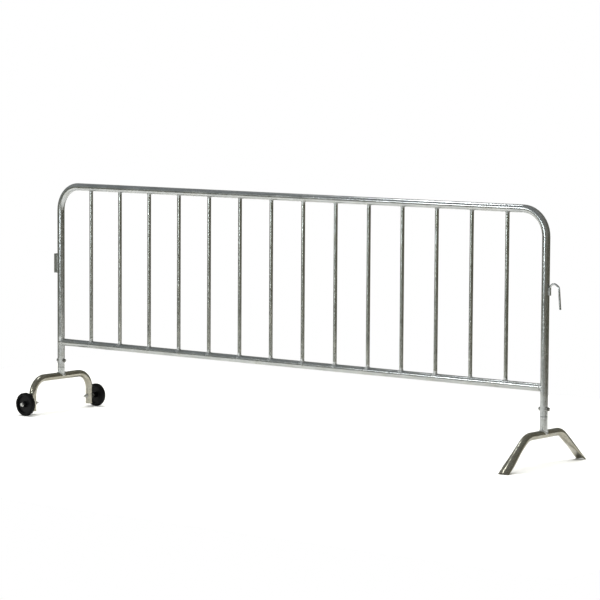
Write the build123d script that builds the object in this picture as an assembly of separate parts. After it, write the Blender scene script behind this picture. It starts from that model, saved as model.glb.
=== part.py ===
from build123d import *
import math
import os

# Crowd control barrier.  Millimetres.
# X runs along the barrier from the wheel end to the foot end, Y across it, Z up.
# The origin is on the ground, under the middle of the barrier's bounding box.

# ---- main tube frame ----
TUBE_OD = 31.75               # posts, top rail, bottom rail, stubs and bridges
TUBE_WALL = 1.6
POST_SPACING = 2559.25        # centre to centre
TOP_RAIL_Z = 1000.1
BOTTOM_RAIL_Z = 308.0
CORNER_RADIUS = 105.0
POST_FOOT_Z = 198.0           # open lower end of both posts

# ---- pickets ----
PICKET_COUNT = 14
PICKET_OD = 15.875
PICKET_WALL = 1.2
PICKET_PITCH = 169.0
VENT_DIA = 3.6                # drain and vent holes for galvanising
VENT_FROM_RAIL = 5.0

# ---- coupling hook, on the foot-end post ----
HOOK_ROD_DIA = 8.0
HOOK_ROOT_OFFSET = 21.2       # short leg from the post's axis
HOOK_ROOT_Z = 669.0
HOOK_CROWN_BASE_Z = 696.0
HOOK_NEAR_BEND = 18.0
HOOK_NEAR_TURN = 125.0        # degrees
HOOK_SLOPE_LENGTH = 8.0
HOOK_FAR_BEND = 14.0
HOOK_LEAN = 4.9               # degrees, long leg from the vertical
HOOK_TIP_Z = 616.3
HOOK_WELD_HEIGHT = 28.0
HOOK_WELD_RADIUS = 6.5

# ---- coupling sleeve, on the wheel-end post ----
SLEEVE_REACH = 33.5           # outer face from the post's axis
SLEEVE_WIDTH = 25.0
SLEEVE_THICKNESS = 3.0
SLEEVE_BEND = 5.5             # outer bend radius
SLEEVE_LOW_Z = 616.0
SLEEVE_HIGH_Z = 700.0

# ---- stubs that plug into the posts ----
SPIGOT_OD = 28.3
SPIGOT_TOP_Z = 250.0
SWAGE_LENGTH = 3.0
POST_BOLT_Z = 226.0

# ---- foot ----
FOOT_BRIDGE_Z = 127.0
FOOT_CORNER_Y = 116.0
FOOT_BEND_RADIUS = 80.0
FOOT_SLOPE = 37.5             # degrees below the horizontal
FOOT_CRUSH_START = 40.0       # along the leg from its corner
FOOT_LEG_LENGTH = 203.2
FOOT_END_WIDTH = 47.5
FOOT_END_ARCH = 7.0
FOOT_END_RISE = 2.2           # arch crown above the leg's axis
FOOT_END_HALF_THICKNESS = 3.8
FOOT_SECTIONS = 7
HALF_SECTION_STEPS = 8
FOOT_SEAT = 0.15              # crushed part of the leg under the round part, at their lap
FOOT_LAP = 4.0

# ---- wheel bridge ----
WHEEL_BRIDGE_Z = 157.5
WHEEL_LEG_Y = 182.0
WHEEL_BEND_RADIUS = 73.0
WHEEL_LEG_END_Z = 16.5

# ---- wheels ----
WHEEL_RADIUS = 50.8
WHEEL_MID_Y = 228.0
TYRE_HALF_WIDTH = 11.5
TYRE_SHOULDER = 6.5
RIM_RADIUS = 42.7
RIM_HALF_WIDTH = 10.6
RIM_INNER_RADIUS = 38.2
WEB_HALF_THICKNESS = 3.4
HUB_RADIUS = 12.0
HUB_HALF_LENGTH = 19.0
HUB_TAPER = 1.5               # hub radius gained from its end to the web
RIM_TAPER = 1.0               # rim bore radius gained from the web to its edge
BUSH_OD = 12.7
BUSH_PROUD = 0.1              # bush past the hub at each end
RUNNING_CLEARANCE = 0.08      # bush bore to axle, radial
END_FLOAT = 0.25              # each side of the bush

# ---- 5/16 inch fasteners ----
BOLT_DIA = 7.94
BOLT_HOLE_DIA = 8.7
SHANK_CHAMFER = 0.8
HEX_ACROSS_FLATS = 12.7
HEX_TURNED_OD = 14.73          # circle that the hexagon's corners are turned to
HEX_CHAMFER = 0.9
HEAD_HEIGHT = 5.3
NUT_HEIGHT = 6.75
WASHER_OD = 17.5
WASHER_THICKNESS = 1.6
POST_BOLT_LENGTH = 44.45
AXLE_BOLT_LENGTH = 101.6
SPACER_OD = 15.9

# ---- worked out from the above ----
TUBE_R = TUBE_OD / 2
BOLT_R = BOLT_DIA / 2
HOOK_R = HOOK_ROD_DIA / 2
FOOT_FALL = math.radians(FOOT_SLOPE)
HOOK_RUN = math.radians(90.0 - HOOK_NEAR_TURN)   # short straight run between the hook's two bends
LEAN = math.radians(HOOK_LEAN)


def hook_points():
    """Corner points and arcs of the hook's centre line, from the post's axis, in XZ."""
    root = (HOOK_ROOT_OFFSET, HOOK_ROOT_Z)
    shoulder = (HOOK_ROOT_OFFSET, HOOK_CROWN_BASE_Z)
    crown = (shoulder[0] + HOOK_NEAR_BEND * (1 - math.sin(HOOK_RUN)),
             shoulder[1] + HOOK_NEAR_BEND * math.cos(HOOK_RUN))
    knee = (crown[0] + HOOK_SLOPE_LENGTH * math.cos(HOOK_RUN),
            crown[1] + HOOK_SLOPE_LENGTH * math.sin(HOOK_RUN))
    drop = (knee[0] + HOOK_FAR_BEND * (math.cos(LEAN) + math.sin(HOOK_RUN)),
            knee[1] - HOOK_FAR_BEND * (math.cos(HOOK_RUN) - math.sin(LEAN)))
    tip = (drop[0] + (drop[1] - HOOK_TIP_Z) * math.tan(LEAN), HOOK_TIP_Z)
    return root, shoulder, crown, knee, drop, tip


HOOK_REACH = hook_points()[-1][0] + HOOK_R * math.cos(LEAN)
CENTRE_X = (WHEEL_RADIUS - HOOK_REACH) / 2
WHEEL_POST_X = CENTRE_X - POST_SPACING / 2
FOOT_POST_X = CENTRE_X + POST_SPACING / 2
PICKET_XS = [CENTRE_X + (i - (PICKET_COUNT - 1) / 2) * PICKET_PITCH for i in range(PICKET_COUNT)]


def rod(start, end, radius):
    """Solid round bar between two points."""
    axis = Vector(*end) - Vector(*start)
    disc = Plane(origin=start, z_dir=axis) * Circle(radius)
    return extrude(disc, amount=axis.length)


def tube(start, end, od, wall):
    """Straight open tube between two points."""
    return rod(start, end, od / 2) - rod(start, end, od / 2 - wall)


def swept(path, radius):
    """Solid round bar along a path."""
    return sweep(Plane(origin=path @ 0, z_dir=path % 0) * Circle(radius), path=path)


def bent_tube(points, bend_radius):
    """Open tube of the main size, bent at each inner point."""
    path = FilletPolyline(*points, radius=bend_radius)
    return swept(path, TUBE_R) - swept(path, TUBE_R - TUBE_WALL)


def hexagon_prism(height):
    """Hexagon along +Z with the corners of its top turned off."""
    blank = extrude(RegularPolygon(HEX_ACROSS_FLATS / 2, 6, major_radius=False), amount=height)
    turned = Cylinder(HEX_TURNED_OD / 2, height, align=(Align.CENTER, Align.CENTER, Align.MIN))
    turned = chamfer(turned.edges().group_by(Axis.Z)[-1], HEX_CHAMFER)
    return blank & turned


def bolt(under_head, direction, length):
    """Hexagon bolt whose head faces along direction, with its shank behind it."""
    shank = Cylinder(BOLT_R, length, align=(Align.CENTER, Align.CENTER, Align.MAX))
    shank = chamfer(shank.edges().group_by(Axis.Z)[0], SHANK_CHAMFER)
    return Plane(origin=under_head, z_dir=direction) * (hexagon_prism(HEAD_HEIGHT) + shank)


def nut(face, direction):
    """Hexagon nut that starts at face and stands out along direction."""
    body = hexagon_prism(NUT_HEIGHT) - Cylinder(BOLT_R, 4 * NUT_HEIGHT)
    return Plane(origin=face, z_dir=direction) * body


def washer(face, direction):
    """Flat washer that starts at face and stands out along direction."""
    ring = Cylinder(WASHER_OD / 2, WASHER_THICKNESS) - Cylinder(BOLT_HOLE_DIA / 2, 2 * WASHER_THICKNESS)
    return Plane(origin=face, z_dir=direction) * Pos(0, 0, WASHER_THICKNESS / 2) * ring


def crosswise_hole(x, z):
    """Cutter for the post bolt, along X."""
    return rod((x - TUBE_OD, 0, z), (x + TUBE_OD, 0, z), BOLT_HOLE_DIA / 2)


# ---- welded frame ----

def make_frame_tube():
    """Both posts and the top rail, one tube with two bends."""
    arch = bent_tube([(WHEEL_POST_X, 0, POST_FOOT_Z), (WHEEL_POST_X, 0, TOP_RAIL_Z),
                      (FOOT_POST_X, 0, TOP_RAIL_Z), (FOOT_POST_X, 0, POST_FOOT_Z)], CORNER_RADIUS)
    return arch - crosswise_hole(WHEEL_POST_X, POST_BOLT_Z) - crosswise_hole(FOOT_POST_X, POST_BOLT_Z)


def post_bar(x):
    """Post outline as a solid, for coping what is welded to it."""
    return rod((x, 0, POST_FOOT_Z), (x, 0, TOP_RAIL_Z - CORNER_RADIUS), TUBE_R)


def make_bottom_rail():
    """Lower rail, coped to both posts."""
    rail = tube((WHEEL_POST_X, 0, BOTTOM_RAIL_Z), (FOOT_POST_X, 0, BOTTOM_RAIL_Z), TUBE_OD, TUBE_WALL)
    return rail - post_bar(WHEEL_POST_X) - post_bar(FOOT_POST_X)


def make_picket(x):
    """Upright, coped to both rails, with a vent hole beside each weld."""
    upright = tube((x, 0, BOTTOM_RAIL_Z), (x, 0, TOP_RAIL_Z), PICKET_OD, PICKET_WALL)
    for rail_z, side in ((BOTTOM_RAIL_Z, 1), (TOP_RAIL_Z, -1)):
        upright -= rod((x - PICKET_OD, 0, rail_z), (x + PICKET_OD, 0, rail_z), TUBE_R)
        vent_z = rail_z + side * (TUBE_R + VENT_FROM_RAIL)
        upright -= rod((x, 0, vent_z), (x + PICKET_OD, 0, vent_z), VENT_DIA / 2)
    return upright


def make_hook_rod():
    """Round-bar hook: short welded leg, crown and a long leg that leans out."""
    root, shoulder, crown, knee, drop, tip = [(FOOT_POST_X + x, 0, z) for x, z in hook_points()]
    run = (math.cos(HOOK_RUN), 0, math.sin(HOOK_RUN))
    path = Wire([
        Line(root, shoulder).edge(),
        TangentArc(shoulder, crown, tangent=(0, 0, 1)).edge(),
        Line(crown, knee).edge(),
        TangentArc(knee, drop, tangent=run).edge(),
        Line(drop, tip).edge(),
    ])
    return swept(path, HOOK_R)


def make_hook_weld(hook):
    """Bead that fills the gap between the post and the hook's short leg."""
    x = FOOT_POST_X + HOOK_ROOT_OFFSET - HOOK_R
    bead = rod((x, 0, HOOK_ROOT_Z), (x, 0, HOOK_ROOT_Z + HOOK_WELD_HEIGHT), HOOK_WELD_RADIUS)
    return bead - post_bar(FOOT_POST_X) - hook


def make_hook_sleeve():
    """U-bent strip whose legs are coped to the post, open above and below."""
    height = SLEEVE_HIGH_Z - SLEEVE_LOW_Z

    def outline(reach, width, bend):
        base = Plane(origin=(WHEEL_POST_X - reach, 0, SLEEVE_LOW_Z)) * Rectangle(
            reach, width, align=(Align.MIN, Align.CENTER))
        return extrude(fillet(base.vertices().group_by(Axis.X)[0], bend), amount=height)

    strip = outline(SLEEVE_REACH, SLEEVE_WIDTH, SLEEVE_BEND)
    strip -= outline(SLEEVE_REACH - SLEEVE_THICKNESS, SLEEVE_WIDTH - 2 * SLEEVE_THICKNESS,
                     SLEEVE_BEND - SLEEVE_THICKNESS)
    return strip - post_bar(WHEEL_POST_X)


# ---- stubs and bridges ----

def make_stub(x, bridge_z):
    """Tube coped to a bridge and swaged at its top to a spigot inside the post."""
    swage_z = POST_FOOT_Z - SWAGE_LENGTH
    spigot_r = SPIGOT_OD / 2

    def turned(trim):
        profile = Plane.XZ * Polyline((0, bridge_z), (TUBE_R - trim, bridge_z), (TUBE_R - trim, swage_z),
                                      (spigot_r - trim, POST_FOOT_Z), (spigot_r - trim, SPIGOT_TOP_Z),
                                      (0, SPIGOT_TOP_Z), close=True)
        return Pos(x, 0, 0) * revolve(make_face(profile.edges()), Axis.Z)

    bridge = rod((x, -TUBE_OD, bridge_z), (x, TUBE_OD, bridge_z), TUBE_R)
    return turned(0) - turned(TUBE_WALL) - bridge - crosswise_hole(x, POST_BOLT_Z)


def leg_section(distance, side, inset):
    """Face across a foot leg: round at the bend, a double-walled crescent at its end."""
    crush = max(0.0, distance - FOOT_CRUSH_START) / (FOOT_LEG_LENGTH - FOOT_CRUSH_START)
    crush = crush * crush * (3 - 2 * crush)
    along = Vector(0, side * math.cos(FOOT_FALL), -math.sin(FOOT_FALL))
    outward = Vector(0, side * math.sin(FOOT_FALL), math.cos(FOOT_FALL))
    centre = Vector(FOOT_POST_X, side * FOOT_CORNER_Y, FOOT_BRIDGE_Z) + along * distance
    radius = TUBE_R - inset - FOOT_SEAT
    half_width = radius * (1 - crush) + (FOOT_END_WIDTH / 2 - inset) * crush
    halves = []
    for first, up in ((0, 1), (1, -1)):
        points = []
        for i in range(HALF_SECTION_STEPS + 1):
            angle = math.pi * (first + i / HALF_SECTION_STEPS)
            across, rise = math.cos(angle), math.sin(angle)
            crescent = FOOT_END_RISE - FOOT_END_ARCH * across ** 2 + rise * (FOOT_END_HALF_THICKNESS - inset)
            height = rise * radius * (1 - crush) + crescent * crush
            points.append(centre + Vector(across * half_width, 0, 0) + outward * height)
        halves.append(Spline(*points, tangents=(outward * up, outward * -up)).edge())
    return Face(Wire(halves))


def make_foot_bridge():
    """Bent tube with both legs crushed to a flat, flared, arched end that stands on the ground."""
    reach = FOOT_CORNER_Y + FOOT_CRUSH_START * math.cos(FOOT_FALL)
    low = FOOT_BRIDGE_Z - FOOT_CRUSH_START * math.sin(FOOT_FALL)
    corners = ((-reach, low), (-FOOT_CORNER_Y, FOOT_BRIDGE_Z), (FOOT_CORNER_Y, FOOT_BRIDGE_Z), (reach, low))
    path = FilletPolyline(*[(FOOT_POST_X, y, z) for y, z in corners], radius=FOOT_BEND_RADIUS)
    step = (FOOT_LEG_LENGTH - FOOT_CRUSH_START) / (FOOT_SECTIONS - 1)
    stations = [FOOT_CRUSH_START - FOOT_LAP] + [FOOT_CRUSH_START + i * step for i in range(FOOT_SECTIONS)]
    leg_reach = FOOT_CORNER_Y + FOOT_LEG_LENGTH
    ground = Pos(FOOT_POST_X, 0, 0) * Box(2 * FOOT_END_WIDTH, 2 * leg_reach, FOOT_END_WIDTH,
                                          align=(Align.CENTER, Align.CENTER, Align.MAX))
    bridge = swept(path, TUBE_R) - swept(path, TUBE_R - TUBE_WALL)
    for side in (-1, 1):
        outside, inside = [loft([leg_section(distance, side, inset) for distance in stations])
                           for inset in (0, TUBE_WALL)]
        bridge += outside - inside - ground
    return bridge


def make_wheel_bridge():
    """Inverted-U tube whose upright legs carry the axle bolts."""
    corners = ((-WHEEL_LEG_Y, WHEEL_LEG_END_Z), (-WHEEL_LEG_Y, WHEEL_BRIDGE_Z),
               (WHEEL_LEG_Y, WHEEL_BRIDGE_Z), (WHEEL_LEG_Y, WHEEL_LEG_END_Z))
    arch = bent_tube([(WHEEL_POST_X, y, z) for y, z in corners], WHEEL_BEND_RADIUS)
    reach = WHEEL_LEG_Y + TUBE_OD
    axle_line = (WHEEL_POST_X, -reach, WHEEL_RADIUS), (WHEEL_POST_X, reach, WHEEL_RADIUS)
    return arch - rod(*axle_line, BOLT_HOLE_DIA / 2)


# ---- wheels ----

def turned_on_axle(profile, side):
    """Revolve a closed (radius, offset) outline about the axle; offset grows away from the barrier."""
    face = make_face(profile.edges())
    about_y = revolve(face, Axis.Y)
    if side < 0:
        about_y = mirror(about_y, about=Plane.XZ)
    return Pos(WHEEL_POST_X, side * WHEEL_MID_Y, WHEEL_RADIUS) * about_y


def make_tyre(side):
    """Solid rubber ring with rounded shoulders, moulded round the core's rim."""
    w, s = TYRE_HALF_WIDTH, TYRE_SHOULDER
    outline = Polyline((RIM_RADIUS, -w), (WHEEL_RADIUS, -w), (WHEEL_RADIUS, w), (RIM_RADIUS, w), close=True)
    section = make_face(outline.edges())
    section = fillet(section.vertices().group_by(Axis.X)[-1], s)
    return turned_on_axle(section, side)


def make_core(side):
    """Plastic centre: rim, thin web and long hub."""
    hub, web, rim = HUB_HALF_LENGTH, WEB_HALF_THICKNESS, RIM_HALF_WIDTH
    half = [(BUSH_OD / 2, hub), (HUB_RADIUS, hub), (HUB_RADIUS + HUB_TAPER, web), (RIM_INNER_RADIUS, web),
            (RIM_INNER_RADIUS + RIM_TAPER, rim), (RIM_RADIUS, rim)]
    outline = Polyline(*half, *[(radius, -offset) for radius, offset in reversed(half)], close=True)
    return turned_on_axle(outline, side)


def make_bush(side):
    """Steel tube pressed through the hub, running on the axle bolt."""
    bore = BOLT_R + RUNNING_CLEARANCE
    half = HUB_HALF_LENGTH + BUSH_PROUD
    outline = Polyline((bore, -half), (BUSH_OD / 2, -half), (BUSH_OD / 2, half), (bore, half), close=True)
    return turned_on_axle(outline, side)


# ---- fasteners ----

def post_fasteners(x):
    """Bolt, two washers and nut through a post and its stub, nut towards +X."""
    head_face = x - TUBE_R
    nut_face = x + TUBE_R
    washers = [washer((head_face, 0, POST_BOLT_Z), (-1, 0, 0)), washer((nut_face, 0, POST_BOLT_Z), (1, 0, 0))]
    screw = bolt((head_face - WASHER_THICKNESS, 0, POST_BOLT_Z), (-1, 0, 0), POST_BOLT_LENGTH)
    return screw, Compound(children=washers), nut((nut_face + WASHER_THICKNESS, 0, POST_BOLT_Z), (1, 0, 0))


def axle_fasteners(side):
    """Axle bolt with its washers, spacer and nut; the head is outside the wheel."""
    out, inward = (0, side, 0), (0, -side, 0)
    half = HUB_HALF_LENGTH + BUSH_PROUD + END_FLOAT

    def at(y):
        return (WHEEL_POST_X, side * y, WHEEL_RADIUS)

    outer_face = WHEEL_MID_Y + half
    inner_face = WHEEL_MID_Y - half
    leg_outside = WHEEL_LEG_Y + TUBE_R
    leg_inside = WHEEL_LEG_Y - TUBE_R
    washers = [washer(at(outer_face), out), washer(at(inner_face), inward), washer(at(leg_inside), inward)]
    screw = bolt(at(outer_face + WASHER_THICKNESS), out, AXLE_BOLT_LENGTH)
    spacer_end = inner_face - WASHER_THICKNESS
    wall = (SPACER_OD - BOLT_HOLE_DIA) / 2
    spacer = tube(at(leg_outside), at(spacer_end), SPACER_OD, wall)
    return screw, Compound(children=washers), spacer, nut(at(leg_inside - WASHER_THICKNESS), inward)


# ---- all nodes ----

def build():
    """Every node by name."""
    nodes = {"frame_tube": make_frame_tube(), "bottom_rail": make_bottom_rail()}
    for number, x in enumerate(PICKET_XS, 1):
        nodes[f"picket_{number:02d}"] = make_picket(x)
    nodes["hook_rod"] = make_hook_rod()
    nodes["hook_weld"] = make_hook_weld(nodes["hook_rod"])
    nodes["hook_sleeve"] = make_hook_sleeve()
    for end, x, bridge_z, bridge in (("foot", FOOT_POST_X, FOOT_BRIDGE_Z, make_foot_bridge),
                                     ("wheel", WHEEL_POST_X, WHEEL_BRIDGE_Z, make_wheel_bridge)):
        nodes[f"{end}_stub"] = make_stub(x, bridge_z)
        nodes[f"{end}_bridge"] = bridge()
        screw, washers, hex_nut = post_fasteners(x)
        nodes[f"{end}_post_bolt"] = screw
        nodes[f"{end}_post_washers"] = washers
        nodes[f"{end}_post_nut"] = hex_nut
    for name, side in (("near", -1), ("far", 1)):
        screw, washers, spacer, hex_nut = axle_fasteners(side)
        nodes[f"{name}_axle_bolt"] = screw
        nodes[f"{name}_axle_washers"] = washers
        nodes[f"{name}_axle_spacer"] = spacer
        nodes[f"{name}_axle_nut"] = hex_nut
        nodes[f"{name}_wheel_tyre"] = make_tyre(side)
        nodes[f"{name}_wheel_core"] = make_core(side)
        nodes[f"{name}_wheel_bush"] = make_bush(side)
    return nodes


os.makedirs("parts", exist_ok=True)
for name, shape in build().items():
    export_step(shape, f"parts/{name}.step")
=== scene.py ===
import math
import random

import bmesh
import bpy
from mathutils import Matrix, Vector, noise


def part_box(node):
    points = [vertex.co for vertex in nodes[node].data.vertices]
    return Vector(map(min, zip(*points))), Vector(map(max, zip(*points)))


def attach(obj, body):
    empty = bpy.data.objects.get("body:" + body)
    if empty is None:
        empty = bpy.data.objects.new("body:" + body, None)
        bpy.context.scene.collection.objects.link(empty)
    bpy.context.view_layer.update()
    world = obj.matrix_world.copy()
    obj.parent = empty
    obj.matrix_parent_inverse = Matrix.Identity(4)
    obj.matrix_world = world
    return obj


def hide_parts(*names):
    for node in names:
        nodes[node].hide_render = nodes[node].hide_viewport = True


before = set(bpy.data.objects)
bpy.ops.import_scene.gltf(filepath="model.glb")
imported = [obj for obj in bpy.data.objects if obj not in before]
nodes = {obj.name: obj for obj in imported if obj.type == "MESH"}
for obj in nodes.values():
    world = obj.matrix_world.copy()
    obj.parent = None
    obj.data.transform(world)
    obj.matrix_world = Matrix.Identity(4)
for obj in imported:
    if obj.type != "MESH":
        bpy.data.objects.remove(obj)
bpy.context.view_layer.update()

MM = 0.001

# ---- places read from the frame ----
PICKETS = sorted(name for name in nodes if name.startswith("picket_"))


def middle(name):
    low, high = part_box(name)
    return (Vector(low) + Vector(high)) / 2


def size(name):
    low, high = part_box(name)
    return Vector(high) - Vector(low)


RAIL_R = size("bottom_rail").z / 2
PICKET_R = size("picket_01").x / 2
WHEEL_POST_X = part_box("frame_tube")[0][0] + RAIL_R
FOOT_POST_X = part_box("frame_tube")[1][0] - RAIL_R
TOP_RAIL_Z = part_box("frame_tube")[1][2] - RAIL_R
BOTTOM_RAIL_Z = middle("bottom_rail").z
FOOT_BRIDGE_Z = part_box("foot_bridge")[1][2] - RAIL_R
WHEEL_BRIDGE_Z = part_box("wheel_bridge")[1][2] - RAIL_R
PICKET_XS = [middle(name).x for name in PICKETS]
PITCH = PICKET_XS[1] - PICKET_XS[0]


# ---- sizes of the weld beads and of the sprayed zinc round them ----
BEAD_LIFT = 0.5 * MM            # bead's middle off the tubes' surfaces
PICKET_BEAD = 1.5 * MM          # radii
STUB_BEAD = 3.0 * MM
RAIL_BEAD = 2.8 * MM
SLEEVE_BEAD = 2.2 * MM
BEAD_STOP = 1.6 * MM            # along the bead, for one radian of its ripple
SPRAY_REACH = 0.013             # metres from a picket weld
SPRAY_WOBBLE = 0.014            # metres, how unevenly the spray ends
HOOK_WELD_ROWS = 7


# ---- camera ----
CAMERA_YAW = math.radians(38.32)      # round from the panel's front towards the foot end
CAMERA_PITCH = math.radians(5.17)
CAMERA_ROLL = math.radians(0.355)
CAMERA_TARGET = (0.0589, 0.0, 0.5766)
CAMERA_DISTANCE = 11.6656
CAMERA_LENS = 169.3                   # millimetres, on a sensor 36 mm wide


# ---- light ----
# World colours: SKY by height (0 straight down, 0.5 level, 1 straight up), SIDES from the picture's left
# to its right.
SKY = ((0.0, (0.15, 0.145, 0.125)), (0.42, (0.10, 0.095, 0.07)), (0.50, (0.13, 0.13, 0.115)),
       (0.60, (0.17, 0.175, 0.17)), (0.80, (0.14, 0.145, 0.15)), (1.0, (0.13, 0.135, 0.14)))
SIDES = ((0.0, (0.95, 1.0, 1.0)), (0.35, (1.0, 1.0, 1.0)),
         (0.60, (0.90, 0.88, 0.80)), (1.0, (0.60, 0.58, 0.48)))
WORLD_STRENGTH = 2.0
WASH_STRENGTH = 3.5
WASH_ANGLE = math.radians(70)
FLOOR_HALF_X, FLOOR_HALF_Y = 2.6, 1.9
SOFT_BOXES = (  # name, place, aim, width, height, watts, colour; metres
    ("left_box", (-0.5, -6.0, 1.0), (-0.8, 0, 0.7), 0.9, 1.3, 62, (0.88, 0.96, 1.0)),
    ("end_box", (-2.3, -4.8, 2.3), (1.2, 0, 0.3), 1.1, 0.7, 48, (0.95, 0.98, 1.0)),
    ("high_box", (-1.5, 0.2, 4.3), (1.2, -0.1, 0.1), 1.0, 0.5, 28, (0.95, 0.98, 1.0)),
)


def make_camera():
    """Long lens from the foot end's front quarter, a little above the top rail's height."""
    level = math.cos(CAMERA_PITCH)
    back = Vector((math.sin(CAMERA_YAW) * level, -math.cos(CAMERA_YAW) * level, math.sin(CAMERA_PITCH)))
    right = Vector((math.cos(CAMERA_YAW), math.sin(CAMERA_YAW), 0.0))
    up = back.cross(right)
    rolled_right = right * math.cos(CAMERA_ROLL) + up * math.sin(CAMERA_ROLL)
    rolled_up = up * math.cos(CAMERA_ROLL) - right * math.sin(CAMERA_ROLL)
    data = bpy.data.cameras.new("camera")
    data.lens = CAMERA_LENS
    data.sensor_width = 36.0
    data.clip_end = 200.0
    camera = bpy.data.objects.new("camera", data)
    bpy.context.scene.collection.objects.link(camera)
    axes = Matrix((rolled_right, rolled_up, back)).transposed().to_4x4()
    camera.matrix_world = Matrix.Translation(Vector(CAMERA_TARGET) + back * CAMERA_DISTANCE) @ axes
    bpy.context.scene.camera = camera


# ---- shader helpers ----

class Shader:
    """A node material built one call at a time."""

    def __init__(self, name):
        self.material = bpy.data.materials.new(name)
        self.material.use_nodes = True
        self.tree = self.material.node_tree
        self.surface = self.tree.nodes["Principled BSDF"]

    def put(self, kind, settings=(), **inputs):
        node = self.tree.nodes.new(kind)
        for key, value in dict(settings).items():
            setattr(node, key, value)
        for key, value in inputs.items():
            self.feed(node, key.replace("_", " "), value)
        return node

    def feed(self, node, key, value):
        socket = node.inputs[int(key)] if key.isdigit() else node.inputs[key]
        if isinstance(value, bpy.types.NodeSocket):
            self.tree.links.new(value, socket)
        else:
            socket.default_value = value

    def place(self):
        """Position on the object, in metres."""
        return self.put("ShaderNodeTexCoord").outputs["Object"]

    def stretched(self, scale, offset=(0, 0, 0)):
        node = self.put("ShaderNodeMapping", Scale=scale, Location=offset)
        self.feed(node, "Vector", self.place())
        return node.outputs["Vector"]

    def noise(self, vector, scale=1.0, detail=4.0, roughness=0.55):
        node = self.put("ShaderNodeTexNoise", Vector=vector, Scale=scale, Detail=detail,
                        Roughness=roughness)
        return node.outputs["Fac"]

    def ramp(self, factor, *stops):
        """Stops are (position, colour or grey)."""
        node = self.put("ShaderNodeValToRGB")
        self.tree.links.new(factor, node.inputs["Fac"])
        elements = node.color_ramp.elements
        while len(elements) < len(stops):
            elements.new(0.5)
        for element, (position, colour) in zip(elements, stops):
            element.position = position
            rgb = colour if isinstance(colour, tuple) else (colour, colour, colour)
            element.color = (*rgb, 1)
        return node.outputs["Color"]

    def mix(self, factor, first, second, blend="MIX"):
        node = self.put("ShaderNodeMix", settings={"data_type": "RGBA", "blend_type": blend})
        for index, value in ((0, factor), (6, first), (7, second)):
            if isinstance(value, bpy.types.NodeSocket):
                self.tree.links.new(value, node.inputs[index])
            elif isinstance(value, tuple):
                node.inputs[index].default_value = (*value, 1)
            else:
                node.inputs[index].default_value = value
        return node.outputs[2]

    def math(self, operation, first, second=0.0):
        node = self.put("ShaderNodeMath", settings={"operation": operation})
        for index, value in enumerate((first, second)):
            if isinstance(value, bpy.types.NodeSocket):
                self.tree.links.new(value, node.inputs[index])
            else:
                node.inputs[index].default_value = value
        return node.outputs[0]

    def finish(self, colour, roughness, height, bump, bump_distance, metallic=0.0, **constants):
        self.feed(self.surface, "Base Color", colour)
        self.feed(self.surface, "Roughness", roughness)
        node = self.put("ShaderNodeBump", Strength=bump, Distance=bump_distance, Height=height)
        self.feed(self.surface, "Normal", node.outputs["Normal"])
        self.surface.inputs["Metallic"].default_value = metallic
        for key, value in constants.items():
            self.surface.inputs[key.replace("_", " ")].default_value = value
        return self.material


def near_weld(shader, reach):
    """1 on the tubes beside a picket weld, falling to 0 at reach metres."""
    xyz = shader.put("ShaderNodeSeparateXYZ", Vector=shader.place())
    x, y, z = (xyz.outputs[i] for i in range(3))
    phase = shader.math("DIVIDE", shader.math("SUBTRACT", x, PICKET_XS[0]), PITCH)
    away = shader.math("MULTIPLY", shader.math("PINGPONG", phase, 0.5), PITCH)
    low = shader.math("ABSOLUTE", shader.math("SUBTRACT", z, BOTTOM_RAIL_Z + RAIL_R))
    high = shader.math("ABSOLUTE", shader.math("SUBTRACT", z, TOP_RAIL_Z - RAIL_R))
    rise = shader.math("MINIMUM", low, high)
    flat = shader.math("SQRT", shader.math("ADD", shader.math("MULTIPLY", away, away),
                                           shader.math("MULTIPLY", rise, rise)))
    cloud = shader.noise(shader.stretched((1, 1, 1)), scale=160.0, detail=3.0)
    wobble = shader.math("MULTIPLY", cloud, SPRAY_WOBBLE)
    distance = shader.math("ADD", flat, shader.math("SUBTRACT", wobble, SPRAY_WOBBLE / 2))
    fade = shader.math("SUBTRACT", 1.0, shader.math("DIVIDE", distance, reach))
    steep = shader.math("MAXIMUM", shader.math("MULTIPLY", fade, 2.5), 0.0)
    return shader.math("MINIMUM", steep, 1.0)


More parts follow.
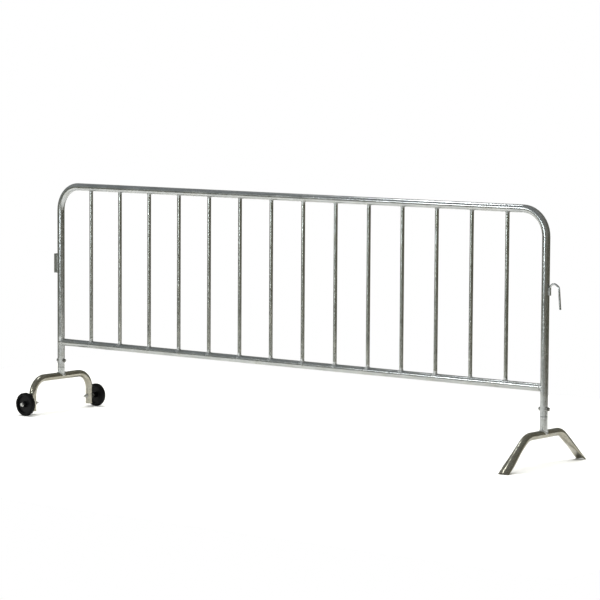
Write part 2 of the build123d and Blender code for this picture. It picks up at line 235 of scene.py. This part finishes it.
def galvanised(name, along, painted_olive_share=0.0, welds=True, tint=(1, 1, 1)):
    """Hot-dipped tube: drawn streaks along it, faint spangle, duller blotches painted olive as reflection of
    the warm room, sprayed zinc at the welds.
    """
    s = Shader(name)
    streak = tuple(9.0 if axis in along else 260.0 for axis in "xyz")
    lines = s.noise(s.stretched(streak), detail=5.0, roughness=0.6)
    cloud = s.noise(s.stretched((1, 1, 1), offset=(3, 7, 1)), scale=26.0, detail=5.0, roughness=0.6)
    cells = s.put("ShaderNodeTexVoronoi", Vector=s.stretched((1, 1, 1)), Scale=150.0).outputs["Color"]
    spangle = s.put("ShaderNodeSeparateColor", Color=cells).outputs[0]
    clean = s.ramp(lines, (0.32, (0.36, 0.375, 0.38)), (0.52, (0.46, 0.475, 0.475)),
                   (0.72, (0.58, 0.59, 0.59)))
    # Olive: painted warm reflection, laid on in random blotches.
    olive = s.ramp(lines, (0.32, (0.26, 0.255, 0.21)), (0.55, (0.38, 0.37, 0.315)),
                   (0.75, (0.50, 0.49, 0.43)))
    # Mask of the blotches that carry the painted olive reflection, larger on the warmer tubes.
    painted_reflection_patch = s.ramp(cloud, (0.42 - 0.2 * painted_olive_share, 0.0), (0.72 - 0.2 * painted_olive_share, 0.35 + 0.6 * painted_olive_share))
    colour = s.mix(painted_reflection_patch, clean, olive)
    colour = s.mix(0.10, colour, s.ramp(spangle, (0.0, 0.35), (1.0, 1.0)), blend="MULTIPLY")
    # Multiplies by the tint: a slight darkening on most tubes, a warm brown painted reflection on the
    # bridges.
    colour = s.mix(1.0, colour, tint, blend="MULTIPLY")
    rough = s.math("ADD", s.math("MULTIPLY", lines, 0.16), s.math("MULTIPLY", cloud, 0.22))
    rough = s.math("ADD", rough, s.math("MULTIPLY", spangle, 0.05))
    height = s.math("ADD", s.math("MULTIPLY", lines, 0.35), cloud)
    if welds:
        spray = near_weld(s, SPRAY_REACH)
        zinc = s.ramp(cloud, (0.3, (0.40, 0.41, 0.40)), (0.7, (0.55, 0.56, 0.55)))
        colour = s.mix(spray, colour, zinc)
        rough = s.math("ADD", rough, s.math("MULTIPLY", spray, 0.16))
    return s.finish(colour, rough, height, bump=0.35, bump_distance=0.0012, metallic=0.92)


def weld_metal():
    """Rough bead under sprayed zinc."""
    s = Shader("weld_zinc")
    grain = s.noise(s.stretched((1, 1, 1)), scale=900.0, detail=6.0, roughness=0.7)
    cloud = s.noise(s.stretched((1, 1, 1)), scale=240.0, detail=3.0)
    colour = s.ramp(cloud, (0.3, (0.30, 0.30, 0.29)), (0.5, (0.44, 0.45, 0.44)),
                    (0.7, (0.62, 0.63, 0.62)))
    rough = s.math("ADD", s.math("MULTIPLY", grain, 0.3), 0.32)
    return s.finish(colour, rough, s.math("ADD", grain, cloud), bump=0.5, bump_distance=0.0008, metallic=0.8)


def plated(name, tint):
    """Zinc-plated fastener with handling marks."""
    s = Shader(name)
    marks = s.noise(s.stretched((1, 1, 1)), scale=420.0, detail=5.0, roughness=0.65)
    cloud = s.noise(s.stretched((1, 1, 1)), scale=130.0, detail=3.0)
    dark = tuple(0.62 * c for c in tint)
    colour = s.ramp(cloud, (0.3, dark), (0.6, tint))
    rough = s.math("ADD", s.math("MULTIPLY", marks, 0.25), 0.2)
    return s.finish(colour, rough, marks, bump=0.2, bump_distance=0.0004, metallic=0.95)


def rubber():
    """Dull black moulded rubber with scuffs."""
    s = Shader("black_rubber")
    grain = s.noise(s.stretched((1, 1, 1)), scale=1400.0, detail=4.0)
    scuff = s.noise(s.stretched((1, 1, 1)), scale=55.0, detail=6.0, roughness=0.7)
    colour = s.ramp(scuff, (0.45, (0.0012, 0.0012, 0.0013)), (0.75, (0.0045, 0.0045, 0.0048)))
    rough = s.math("ADD", s.math("MULTIPLY", scuff, 0.3), 0.45)
    return s.finish(colour, rough, s.math("ADD", grain, scuff), bump=0.25, bump_distance=0.0006,
                    Specular_IOR_Level=0.12)


def plastic():
    """Black polypropylene core with a fine moulded texture."""
    s = Shader("black_plastic")
    grain = s.noise(s.stretched((1, 1, 1)), scale=2200.0, detail=3.0)
    cloud = s.noise(s.stretched((1, 1, 1)), scale=70.0, detail=4.0)
    colour = s.ramp(cloud, (0.4, (0.0012, 0.0012, 0.0014)), (0.7, (0.0035, 0.0035, 0.004)))
    rough = s.math("ADD", s.math("MULTIPLY", cloud, 0.18), 0.34)
    return s.finish(colour, rough, s.math("ADD", grain, cloud), bump=0.15, bump_distance=0.0004,
                    Specular_IOR_Level=0.16)


# ---- mesh helpers ----

def new_piece(name, verts, faces, material):
    """Smooth bead of weld on the welded frame."""
    mesh = bpy.data.meshes.new(name)
    mesh.from_pydata([tuple(v) for v in verts], [], faces)
    mesh.validate()
    for polygon in mesh.polygons:
        polygon.use_smooth = True
    mesh.materials.append(material)
    piece = bpy.data.objects.new(name, mesh)
    bpy.context.scene.collection.objects.link(piece)
    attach(piece, "barrier")


def bead_mesh(path, closed, radius, seed, ripple=0.16, lumps=0.22, sides=12):
    """Weld bead: a tube along path whose radius ripples from stop to stop and swells in places."""
    draw = random.Random(seed)
    phase = draw.uniform(0, 6.28)
    count = len(path)
    verts, faces = [], []
    travelled = 0.0
    for i, point in enumerate(path):
        before = path[i - 1] if i or closed else path[0]
        after = path[(i + 1) % count] if i < count - 1 or closed else path[-1]
        along = (after - before).normalized()
        across = along.orthogonal().normalized()
        if abs(along.z) < 0.9:
            across = along.cross(Vector((0, 0, 1))).normalized()
        other = along.cross(across)
        if i:
            travelled += (point - path[i - 1]).length
        wave = abs(math.sin(travelled / BEAD_STOP + phase))
        swell = noise.noise(point * 130.0 + Vector((seed * 1.7, 0, 0)))
        taper = 1.0 if closed else min(1.0, 0.45 + 3.0 * min(i, count - 1 - i) / count)
        r = radius * (1.0 - ripple * wave + lumps * swell) * taper
        for j in range(sides):
            angle = 2 * math.pi * j / sides
            pimple = 1.0 + 0.08 * noise.noise(point * 900.0 + Vector((j * 0.9, seed, 0)))
            verts.append(point + (across * math.cos(angle) + other * math.sin(angle)) * r * pimple)
    rings = count if closed else count - 1
    for i in range(rings):
        for j in range(sides):
            a, b = i * sides + j, i * sides + (j + 1) % sides
            c, d = ((i + 1) % count) * sides + (j + 1) % sides, ((i + 1) % count) * sides + j
            faces.append((a, b, c, d))
    if not closed:
        faces.append(tuple(range(sides))[::-1])
        faces.append(tuple((count - 1) * sides + j for j in range(sides)))
    return verts, faces


def saddle(centre, branch_r, main_r, main_axis, side, steps=72):
    """Closed curve where an upright tube of branch_r meets a level one of main_r; side is +1 on top."""
    path = []
    for i in range(steps):
        angle = 2 * math.pi * i / steps
        u, v = branch_r * math.cos(angle), branch_r * math.sin(angle)
        across = v if main_axis == "x" else u
        drop = math.sqrt(max(main_r ** 2 - min(abs(across), main_r * 0.985) ** 2, 0.0))
        path.append(centre + Vector((u, v, side * drop)))
    return path


def make_welds(metal):
    """Beads at every welded joint."""
    main = RAIL_R + BEAD_LIFT
    for number, x in enumerate(PICKET_XS, 1):
        for end, z, side in (("low", BOTTOM_RAIL_Z, 1), ("top", TOP_RAIL_Z, -1)):
            seed = number * 2 + (side > 0)
            path = saddle(Vector((x, 0, z)), PICKET_R + BEAD_LIFT, main, "x", side)
            new_piece(f"weld_{end}_{number:02d}", *bead_mesh(path, True, PICKET_BEAD, seed), metal)
    for end, x, z in (("foot", FOOT_POST_X, FOOT_BRIDGE_Z), ("wheel", WHEEL_POST_X, WHEEL_BRIDGE_Z)):
        path = saddle(Vector((x, 0, z)), main, main, "y", 1, steps=120)
        new_piece(f"weld_{end}_stub", *bead_mesh(path, True, STUB_BEAD, 40 + (end == "foot")), metal)
    for end, x, turn in (("foot", FOOT_POST_X, -1), ("wheel", WHEEL_POST_X, 1)):
        ring = saddle(Vector((0, 0, 0)), main, main, "y", 1, steps=120)
        path = [Vector((x + turn * p.z, p.y, BOTTOM_RAIL_Z + p.x)) for p in ring]
        new_piece(f"weld_{end}_rail", *bead_mesh(path, True, RAIL_BEAD, 50 + (end == "foot")), metal)


def straight(start, end, steps):
    return [Vector(start).lerp(Vector(end), i / (steps - 1)) for i in range(steps)]


def make_hook_welds(metal):
    """Overlapping blobs of weld that fill the gap between the post and the hook's short leg."""
    low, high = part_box("hook_weld")
    x, height = (low[0] + high[0]) / 2, high[2] - low[2]
    draw = random.Random(60)
    mesh = bmesh.new()
    for row in range(HOOK_WELD_ROWS):
        for side in (-1, 0, 1):
            radius = draw.uniform(3.0, 4.4) * MM
            level = (height - 6 * MM) * row / (HOOK_WELD_ROWS - 1)
            z = low[2] + 3 * MM + level + draw.uniform(-0.8, 0.8) * MM
            blob = bmesh.ops.create_icosphere(mesh, subdivisions=3, radius=radius)["verts"]
            centre = Vector((x - (0.8 if side else 0.2) * MM, side * draw.uniform(3.2, 4.4) * MM, z))
            for vert in blob:
                lump = 1 + 0.16 * noise.noise(vert.co * 420 + centre * 90)
                vert.co = Vector((vert.co.x * 0.85, vert.co.y * 0.8, vert.co.z * 0.75)) * lump + centre
    shape = bpy.data.meshes.new("weld_hook")
    mesh.to_mesh(shape)
    mesh.free()
    piece = bpy.data.objects.new("weld_hook", shape)
    bpy.context.scene.collection.objects.link(piece)
    joined = piece.modifiers.new("join", "REMESH")
    joined.mode = "VOXEL"
    joined.voxel_size = 0.5 * MM
    joined.use_smooth_shade = True
    graph = bpy.context.evaluated_depsgraph_get()
    settled = bpy.data.meshes.new_from_object(piece.evaluated_get(graph))
    piece.modifiers.clear()
    piece.data = settled
    settled.materials.clear()
    settled.materials.append(metal)
    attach(piece, "barrier")
    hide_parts("hook_weld")


def make_sleeve_welds(metal):
    """Runs down both legs of the sleeve where they meet the post."""
    low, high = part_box("hook_sleeve")
    x = high[0] - 0.6 * MM
    for index, side in enumerate((-1, 1)):
        y = side * (high[1] + 0.6 * MM)
        path = straight((x, y, low[2] + 3 * MM), (x, y, high[2] - 3 * MM), steps=90)
        new_piece(f"weld_sleeve_{index + 1}", *bead_mesh(path, False, SLEEVE_BEAD, 70 + index), metal)


# ---- room ----

def make_floor():
    """Pale studio floor, a little warm."""
    mesh = bpy.data.meshes.new("floor")
    corners = [(x * FLOOR_HALF_X, y * FLOOR_HALF_Y, 0) for x, y in ((-1, -1), (1, -1), (1, 1), (-1, 1))]
    mesh.from_pydata(corners, [], [(0, 1, 2, 3)])
    floor = bpy.data.objects.new("floor", mesh)
    bpy.context.scene.collection.objects.link(floor)
    s = Shader("pale_floor")
    cloud = s.noise(s.stretched((1, 1, 1)), scale=2.0, detail=3.0)
    colour = s.ramp(cloud, (0.3, (0.90, 0.89, 0.86)), (0.7, (0.93, 0.92, 0.89)))
    mesh.materials.append(s.finish(colour, 0.85, cloud, bump=0.02, bump_distance=0.001,
                                   Specular_IOR_Level=0.0))


def make_surroundings():
    """White to the camera; to the metal a dim room, grey above, cool on the left and olive on the right."""
    world = bpy.data.worlds.new("studio")
    bpy.context.scene.world = world
    world.use_nodes = True
    tree = world.node_tree
    tree.nodes.clear()

    def put(kind, **settings):
        node = tree.nodes.new(kind)
        for key, value in settings.items():
            setattr(node, key, value)
        return node

    def link(source, target):
        tree.links.new(source, target)

    def ramp(factor, stops):
        node = put("ShaderNodeValToRGB")
        link(factor, node.inputs["Fac"])
        while len(node.color_ramp.elements) < len(stops):
            node.color_ramp.elements.new(0.5)
        for element, (position, colour) in zip(node.color_ramp.elements, stops):
            element.position = position
            element.color = (*colour, 1)
        return node.outputs["Color"]

    coords = put("ShaderNodeTexCoord")
    split = put("ShaderNodeSeparateXYZ")
    link(coords.outputs["Generated"], split.inputs["Vector"])
    rise = put("ShaderNodeMapRange")
    rise.inputs["From Min"].default_value = -1.0
    link(split.outputs["Z"], rise.inputs["Value"])
    side = put("ShaderNodeVectorMath", operation="DOT_PRODUCT")
    side.inputs[1].default_value = (math.cos(CAMERA_YAW), math.sin(CAMERA_YAW), 0.0)
    link(coords.outputs["Generated"], side.inputs[0])
    across = put("ShaderNodeMapRange")
    across.inputs["From Min"].default_value = -1.0
    link(side.outputs["Value"], across.inputs["Value"])

    upward = ramp(rise.outputs["Result"], SKY)
    sideways = ramp(across.outputs["Result"], SIDES)
    both = put("ShaderNodeMix", data_type="RGBA", blend_type="MULTIPLY")
    both.inputs[0].default_value = 1.0
    link(upward, both.inputs[6])
    link(sideways, both.inputs[7])
    lit = put("ShaderNodeBackground")
    link(both.outputs[2], lit.inputs["Color"])
    lit.inputs["Strength"].default_value = WORLD_STRENGTH
    seen = put("ShaderNodeBackground")
    seen.inputs["Color"].default_value = (1, 1, 1, 1)
    ray = put("ShaderNodeLightPath")
    blend = put("ShaderNodeMixShader")
    link(ray.outputs["Is Camera Ray"], blend.inputs["Fac"])
    link(lit.outputs["Background"], blend.inputs[1])
    link(seen.outputs["Background"], blend.inputs[2])
    out = put("ShaderNodeOutputWorld")
    link(blend.outputs["Shader"], out.inputs["Surface"])


def make_lamps():
    """Even wash on the floor, which the metal doesn't mirror, and the soft boxes that it does."""
    data = bpy.data.lights.new("wash", "SUN")
    data.energy = WASH_STRENGTH
    data.angle = WASH_ANGLE
    wash = bpy.data.objects.new("wash", data)
    bpy.context.scene.collection.objects.link(wash)
    wash.visible_glossy = False
    for name, place, aim, width, height, power, colour in SOFT_BOXES:
        data = bpy.data.lights.new(name, "AREA")
        data.shape = "RECTANGLE"
        data.size, data.size_y = width, height
        data.energy = power
        data.color = colour
        lamp = bpy.data.objects.new(name, data)
        bpy.context.scene.collection.objects.link(lamp)
        lamp.location = place
        lamp.rotation_mode = "QUATERNION"
        lamp.rotation_quaternion = (Vector(aim) - Vector(place)).to_track_quat("-Z", "Y")


# ---- materials on the frame's nodes ----

def paint_nodes():
    """Gives every CAD node the material that its piece is made of."""
    # Each tube's share of painted olive reflection is set here; the bridge's is the largest.
    upright = galvanised("galvanised_upright", "z", painted_olive_share=0.28, tint=(0.92, 0.92, 0.88))
    level = galvanised("galvanised_level", "x", painted_olive_share=0.1, tint=(0.90, 0.90, 0.89))
    bent = galvanised("galvanised_frame", "xz", painted_olive_share=0.05, tint=(0.95, 0.95, 0.95))
    # The bridges' warm brown tint and large olive share are painted reflection of the warm room.
    crossways = galvanised("galvanised_bridge", "y", painted_olive_share=0.55, welds=False,
                           tint=(0.80, 0.755, 0.655))
    small = galvanised("galvanised_small", "z", painted_olive_share=0.0, welds=False)
    bright = plated("zinc_plated", (0.50, 0.50, 0.48))
    # Much darker zinc for the post nuts: painted shade.
    nut_painted_shade = plated("nut_zinc_painted_shade", (0.16, 0.155, 0.14))
    tyre = rubber()
    core = plastic()
    chosen = {"frame_tube": bent, "bottom_rail": level, "hook_rod": small, "hook_sleeve": small,
              "foot_stub": small, "wheel_stub": small, "foot_bridge": crossways, "wheel_bridge": crossways}
    for name, node in nodes.items():
        material = chosen.get(name)
        if name in PICKETS:
            material = upright
        elif name.endswith("tyre"):
            material = tyre
        elif name.endswith("core"):
            material = core
        elif name.endswith("post_nut"):
            material = nut_painted_shade
        elif material is None:
            material = bright
        node.data.materials.clear()
        node.data.materials.append(material)


make_camera()
make_floor()
make_surroundings()
make_lamps()
paint_nodes()
zinc = weld_metal()
make_welds(zinc)
make_hook_welds(zinc)
make_sleeve_welds(zinc)
bpy.context.scene.view_settings.view_transform = "Standard"
